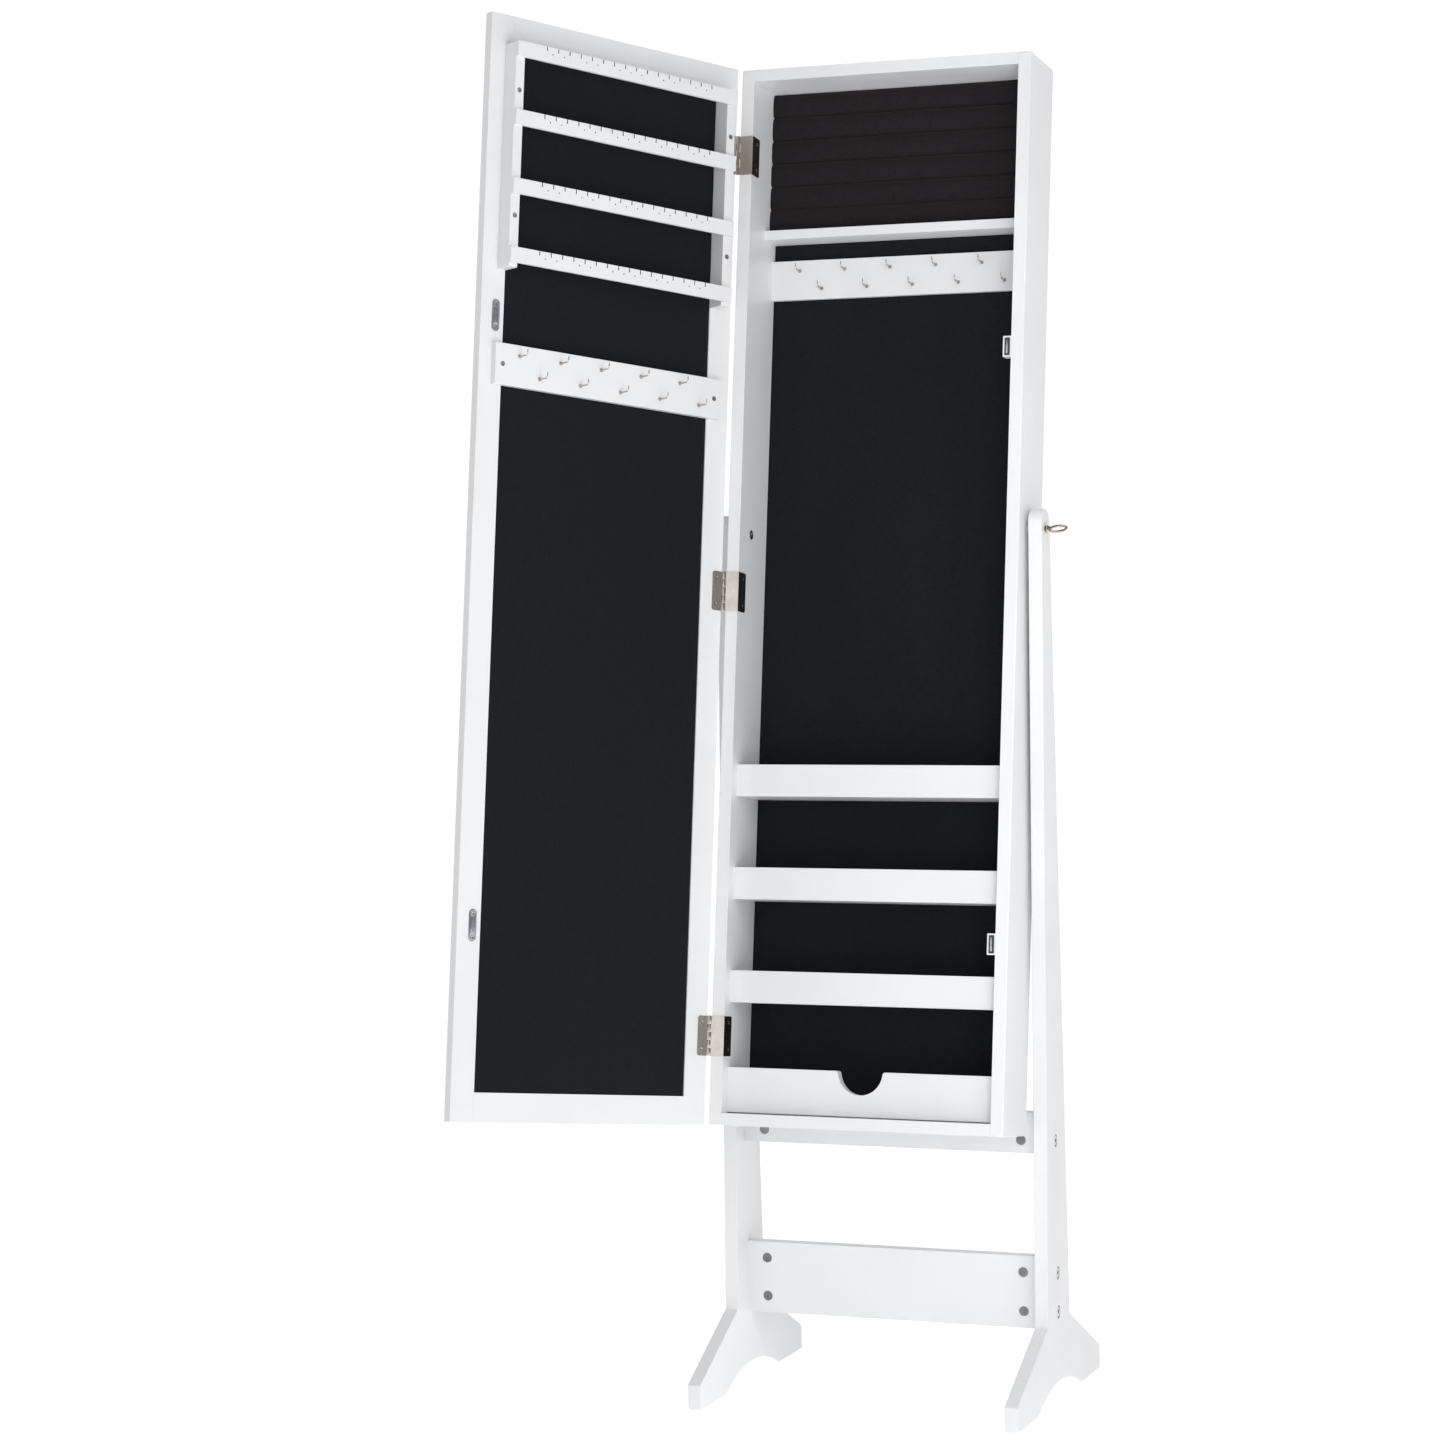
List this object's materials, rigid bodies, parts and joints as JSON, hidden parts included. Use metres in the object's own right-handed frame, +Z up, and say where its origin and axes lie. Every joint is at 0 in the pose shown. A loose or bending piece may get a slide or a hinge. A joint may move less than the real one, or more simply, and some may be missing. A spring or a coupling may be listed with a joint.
{
  "type": "jewelry armoire",
  "caption": "Free-standing leaning jewelry armoire with a hinged mirror door, hooks, earring rack, ring cushion and lipped shelves on a two-legged stand.",
  "frame": {"origin": "on the floor under the middle of the bounding box, with the cabinet leaning back 8.5 degrees and the door open 120 degrees", "axes": "+Z up, -Y the front that the cabinet opens towards, +X to the right of someone facing it"},
  "size_m": [0.5924, 0.6096, 1.5959],
  "materials": {
    "white_lacquer": "satin lacquer on fibreboard",
    "black_felt": "short-pile felt",
    "dark_velvet": "velvet over foam",
    "champagne_nickel": "polished champagne nickel plate",
    "zinc_steel": "bright zinc plate",
    "white_plastic": "moulded",
    "grey_plastic": "moulded",
    "mirror_glass": "silvered glass",
    "hardboard": "raw hardboard"
  },
  "bodies": {
    "stand": {"leg_left": "white_lacquer", "leg_right": "white_lacquer", "upper_rail": "white_lacquer", "lower_rail": "white_lacquer", "rail_bolts": "zinc_steel", "barrel_nuts": "zinc_steel", "pivot_spacers": "grey_plastic", "pivot_washers": "champagne_nickel"},
    "cabinet": {"side_left": "white_lacquer", "side_right": "white_lacquer", "top_board": "white_lacquer", "bottom_board": "white_lacquer", "back_board": "white_lacquer", "back_lining": "black_felt", "top_shelf": "white_lacquer", "ring_cushion": "dark_velvet", "cabinet_hook_rail": "white_lacquer", "cabinet_hooks": "champagne_nickel", "shelf_upper": "white_lacquer", "shelf_middle": "white_lacquer", "shelf_lower": "white_lacquer", "lip_upper": "white_lacquer", "lip_middle": "white_lacquer", "lip_lower": "white_lacquer", "bottom_front": "white_lacquer", "pivot_inserts": "zinc_steel", "catch_upper": "white_plastic", "catch_lower": "white_plastic", "catch_magnets": "zinc_steel", "cabinet_leaf_top": "champagne_nickel", "cabinet_leaf_middle": "champagne_nickel", "cabinet_leaf_bottom": "champagne_nickel", "hinge_pins": "champagne_nickel", "cabinet_hinge_screws": "champagne_nickel"},
    "door": {"door_stile_hinge": "white_lacquer", "door_stile_free": "white_lacquer", "door_rail_top": "white_lacquer", "door_rail_bottom": "white_lacquer", "mirror_glass": "mirror_glass", "mirror_backing": "hardboard", "door_lining": "black_felt", "rack_side_hinge": "white_lacquer", "rack_side_free": "white_lacquer", "rack_bar_1": "white_lacquer", "rack_bar_2": "white_lacquer", "rack_bar_3": "white_lacquer", "rack_bar_4": "white_lacquer", "rack_screws": "zinc_steel", "door_hook_bar": "white_lacquer", "door_hooks": "champagne_nickel", "hook_bar_screws": "zinc_steel", "strike_upper": "zinc_steel", "strike_lower": "zinc_steel", "strike_screws": "zinc_steel", "door_leaf_top": "champagne_nickel", "door_leaf_middle": "champagne_nickel", "door_leaf_bottom": "champagne_nickel", "door_hinge_screws": "champagne_nickel"},
    "thumb_left": {"thumb_screw_left": "champagne_nickel"},
    "thumb_right": {"thumb_screw_right": "champagne_nickel"}
  },
  "joints": [
    {"name": "cabinet_tilt", "type": "hinge", "parent": "stand", "child": "cabinet", "pos_m": [0.07231, 0.13783, 1.003], "axis": [-1, 0, 0], "range_deg": [-3, 11.5]},
    {"name": "door_swing", "type": "hinge", "parent": "cabinet", "child": "door", "pos_m": [-0.10669, 0.10143, 1.00844], "axis": [0, -0.1478, -0.989], "range_deg": [-120, 50]},
    {"name": "thumb_turn_left", "type": "hinge", "parent": "stand", "child": "thumb_left", "pos_m": [-0.12569, 0.13783, 1.003], "axis": [1, 0, 0], "continuous": true},
    {"name": "thumb_turn_right", "type": "hinge", "parent": "stand", "child": "thumb_right", "pos_m": [0.27031, 0.13783, 1.003], "axis": [1, 0, 0], "continuous": true}
  ]
}
